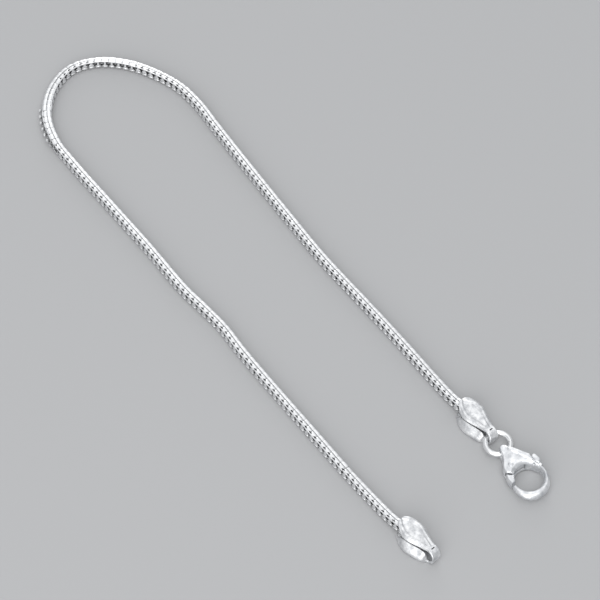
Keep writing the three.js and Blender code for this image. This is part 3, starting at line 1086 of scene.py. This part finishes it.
def makeClaspBody(c):
    middle = c["thick"] / 2
    sink = (c["thick"] - c["faceThick"]) / 2
    body = raised("body", bodyOutline(c), sink, c["thick"] - sink, c["edge"])
    hole = c["hole"]
    # the upper rim of the hole is rounded off and the pits are sunk before anything is joined on
    rounding = [
        (hole - 0.3, 0.3), (hole + 0.02, 0.5), (hole + 0.1, 0.68), (hole + 0.24, 0.84),
        (hole + 0.44, 0.97), (hole + 0.5, 1.3),
    ]
    dents = [spun("rounding", rounding, (0.0, 0.0, middle), "Z", 64)]
    for x, y, radius in claspPits:
        dents.append(spun("pit", [(radius, pitFrom), (radius, pitTo)], (x, y, middle), "Z"))
    combined(body, dents, "DIFFERENCE")
    # raised strip along the back edge
    strip = [
        (-5.12, 0.58), (-4.7, 0.88), (-3.75, 1.38), (-2.54, 2.08), (-2.42, 2.01), (-1.32, 2.01),
        (-1.2, 2.36), (-0.6, 2.4), (-0.75, 2.1), (-1.5, 1.85), (-3.0, 1.08), (-4.3, 0.42), (-4.9, 0.2),
    ]
    spine = raised("strip", strip, 0.0, c["thick"], c["edge"])
    combined(body, [spine, hook(c)], "UNION")
    half = c["lever"] / 2 + c["leverPlay"]
    # all that the lever sweeps from shut to open, with play round it
    sweep = [
        (-1.55, 3.2), (-1.86, 0.6), (-1.8, -0.05), (-0.35, -0.7), (-0.35, -2.7), (-2.25, -2.7),
        (-2.35, -2.08), (-3.0, -1.6), (-3.6, -0.9), (-3.68, 0.1), (-4.25, 2.45), (-4.25, 3.2),
    ]
    flare = c["eye"] + c["flare"]
    far = c["through"]
    cutters = [
        raised("sweep", sweep, middle - half, middle + half),
        raised("hub", circle(c["pivot"], c["hub"] + c["leverPlay"]), middle - half, middle + half),
        spun("bore", [(c["pin"], -far), (c["pin"], far)], (*c["pivot"], middle), "Z"),
        spun(
            "eye",
            [(flare, -far), (flare, -1.1), (c["eye"], -0.5), (c["eye"], 0.5), (flare, 1.1), (flare, far)],
            (c["eyeX"], 0.0, c["eyeZ"]),
            "Y",
        ),
    ]
    combined(body, cutters, "DIFFERENCE")
    cast(body, c["voxel"], c["softened"])
    for vert in body.data.vertices:
        past = min(max((c["tailFrom"] - vert.co.x) / c["tailLong"], 0.0), 1.0)
        vert.co.z = middle + (vert.co.z - middle) * (1 - c["tailThin"] * past * past)
    move = Matrix.Translation(c["centre"])
    return finished(body, move, claspSilver, c["sharp"], "root", ["clasp_body"])


# the bar that the thumb pulls: a slot shape with round ends
def thumbBar():
    start, end, radius = Vector((-2.12, 2.52)), Vector((-1.46, 2.6)), 0.36
    along = math.atan2(end.y - start.y, end.x - start.x)
    endParts = 12
    outline = []
    for centre, turn in ((start, math.pi / 2), (end, -math.pi / 2)):
        for part in range(endParts + 1):
            angle = along + turn + math.pi * part / endParts
            outline.append((centre.x + radius * math.cos(angle), centre.y + radius * math.sin(angle)))
    return outline


def makeLever(c):
    middle = c["thick"] / 2
    low, high = middle - c["lever"] / 2, middle + c["lever"] / 2
    arm = [(-3.4, -0.8), (-3.0, 0.3), (-2.3, 2.5), (-1.72, 2.5), (-2.0, 0.6), (-2.1, -0.7)]
    gate = [
        (-2.15, -0.55), (-1.62, -1.42), (-0.5, -1.98), (-0.5, -2.44), (-1.2, -2.38), (-2.1, -2.08),
        (-2.85, -1.5),
    ]
    # the gate's root is an arc about the pin, so that it clears the body as it swings
    pivotX, pivotY = c["pivot"]
    root = c["gateRoot"]
    gateFace = []
    for degrees in (-62, -52, -42, -32, -21):
        angle = math.radians(degrees)
        gateFace.append((pivotX + root * math.cos(angle), pivotY + root * math.sin(angle)))
    gateFace += [(-0.95, -1.72), (-0.5, -1.93), (-0.5, -2.5), (-1.3, -2.46)]
    lever = raised("lever", arm, low, high)
    tools = [
        raised("gate", gate, low, high),
        raised("hub", circle(c["pivot"], c["hub"]), low, high),
        raised("gateFace", gateFace, middle - c["gate"] / 2, middle + c["gate"] / 2, c["gateEdge"]),
        raised("thumbBar", thumbBar(), middle - c["thumb"] / 2, middle + c["thumb"] / 2, c["thumbEdge"]),
    ]
    combined(lever, tools, "UNION")
    radius, far = c["pin"] + c["play"], c["through"]
    bore = spun("bore", [(radius, -far), (radius, far)], (*c["pivot"], middle), "Z")
    combined(lever, [bore], "DIFFERENCE")
    cast(lever, c["voxel"], c["softened"])
    move = Matrix.Translation(c["centre"])
    return finished(lever, move, claspSilver, c["sharp"], "lever", ["clasp_lever"])


def makePin(c):
    half = c["faceThick"] / 2
    swollen = c["pin"] + 0.01
    # one end of the pin, a little swollen where it's riveted, and the same end mirrored
    end = [
        (0.02, -half), (0.16, -half + 0.005), (0.26, -half + 0.02), (swollen, -half + 0.05),
        (swollen, -half + 0.25), (c["pin"], -half + 0.3),
    ]
    profile = end + [(radius, -along) for radius, along in reversed(end)]
    pin = spun("pin", profile, (*c["pivot"], c["thick"] / 2), "Z", 40)
    move = Matrix.Translation(c["centre"])
    return finished(pin, move, claspSilver, c["pinSharp"], "root", ["clasp_pin"])


makeClaspBody(clasp)
makeLever(clasp)
makePin(clasp)
print("clasp cast")


# plain pale floor and an even world
studio = {
    "floorSize": 6.0,
    "floorLight": (0.46, 0.46, 0.465),
    "floorShade": (0.43, 0.435, 0.44),
    "floorRough": 0.75,
    "floorGloss": 0.25,
    "floorDrop": 0.00002,  # metres below the bracelet, so that the two never share a plane
    "world": (0.5, 0.51, 0.525),
    "worldStrength": 1.0,
}
# each light by its direction from the bracelet, as azimuth and elevation, its distance and size
lamps = [
    {"name": "windowBehind", "azimuth": 233.9, "elevation": 56, "away": 0.7, "size": 0.6, "power": 0.7},
    {"name": "lowBehind", "azimuth": 234, "elevation": 15, "away": 0.8, "size": 0.4, "power": 0.9},
    {"name": "overhead", "azimuth": 54, "elevation": 68, "away": 0.9, "size": 0.75, "power": 3.2},
    {"name": "frontFill", "azimuth": 35, "elevation": 25, "away": 0.9, "size": 0.8, "power": 4.0},
]


def makeFloor(s):
    size = s["floorSize"] / 2
    mesh = bpy.data.meshes.new("floor")
    mesh.from_pydata(
        [(-size, -size, 0.0), (size, -size, 0.0), (size, size, 0.0), (-size, size, 0.0)], [], [(0, 1, 2, 3)]
    )
    floor = bpy.data.objects.new("floor", mesh)
    floor.location.z = -s["floorDrop"]
    bpy.context.scene.collection.objects.link(floor)
    material = bpy.data.materials.new("paleBoard")
    material.use_nodes = True
    tree = material.node_tree
    shader = tree.nodes["Principled BSDF"]
    cloud = node(tree, "ShaderNodeTexNoise", {"Scale": 3.0, "Detail": 3.0})
    tree.links.new(node(tree, "ShaderNodeTexCoord").outputs["Object"], cloud.inputs["Vector"])
    board = mixed(tree, cloud.outputs["Fac"], s["floorShade"], s["floorLight"])
    tree.links.new(board, shader.inputs["Base Color"])
    shader.inputs["Roughness"].default_value = s["floorRough"]
    shader.inputs["Specular IOR Level"].default_value = s["floorGloss"]
    mesh.materials.append(material)


def makeWorld(s):
    world = bpy.data.worlds.new("studio")
    world.use_nodes = True
    background = world.node_tree.nodes["Background"]
    background.inputs["Color"].default_value = (*s["world"], 1.0)
    background.inputs["Strength"].default_value = s["worldStrength"]
    bpy.context.scene.world = world


def makeLamps(rows):
    for row in rows:
        back = direction(row)
        data = bpy.data.lights.new(row["name"], "AREA")
        data.size = row["size"]
        data.energy = row["power"]
        lamp = bpy.data.objects.new(row["name"], data)
        lamp.location = back * row["away"]
        lamp.rotation_euler = back.to_track_quat("Z", "Y").to_euler()
        bpy.context.scene.collection.objects.link(lamp)


makeFloor(studio)
makeWorld(studio)
makeLamps(lamps)
bpy.context.scene.view_settings.view_transform = "Standard"
print("studio lit")
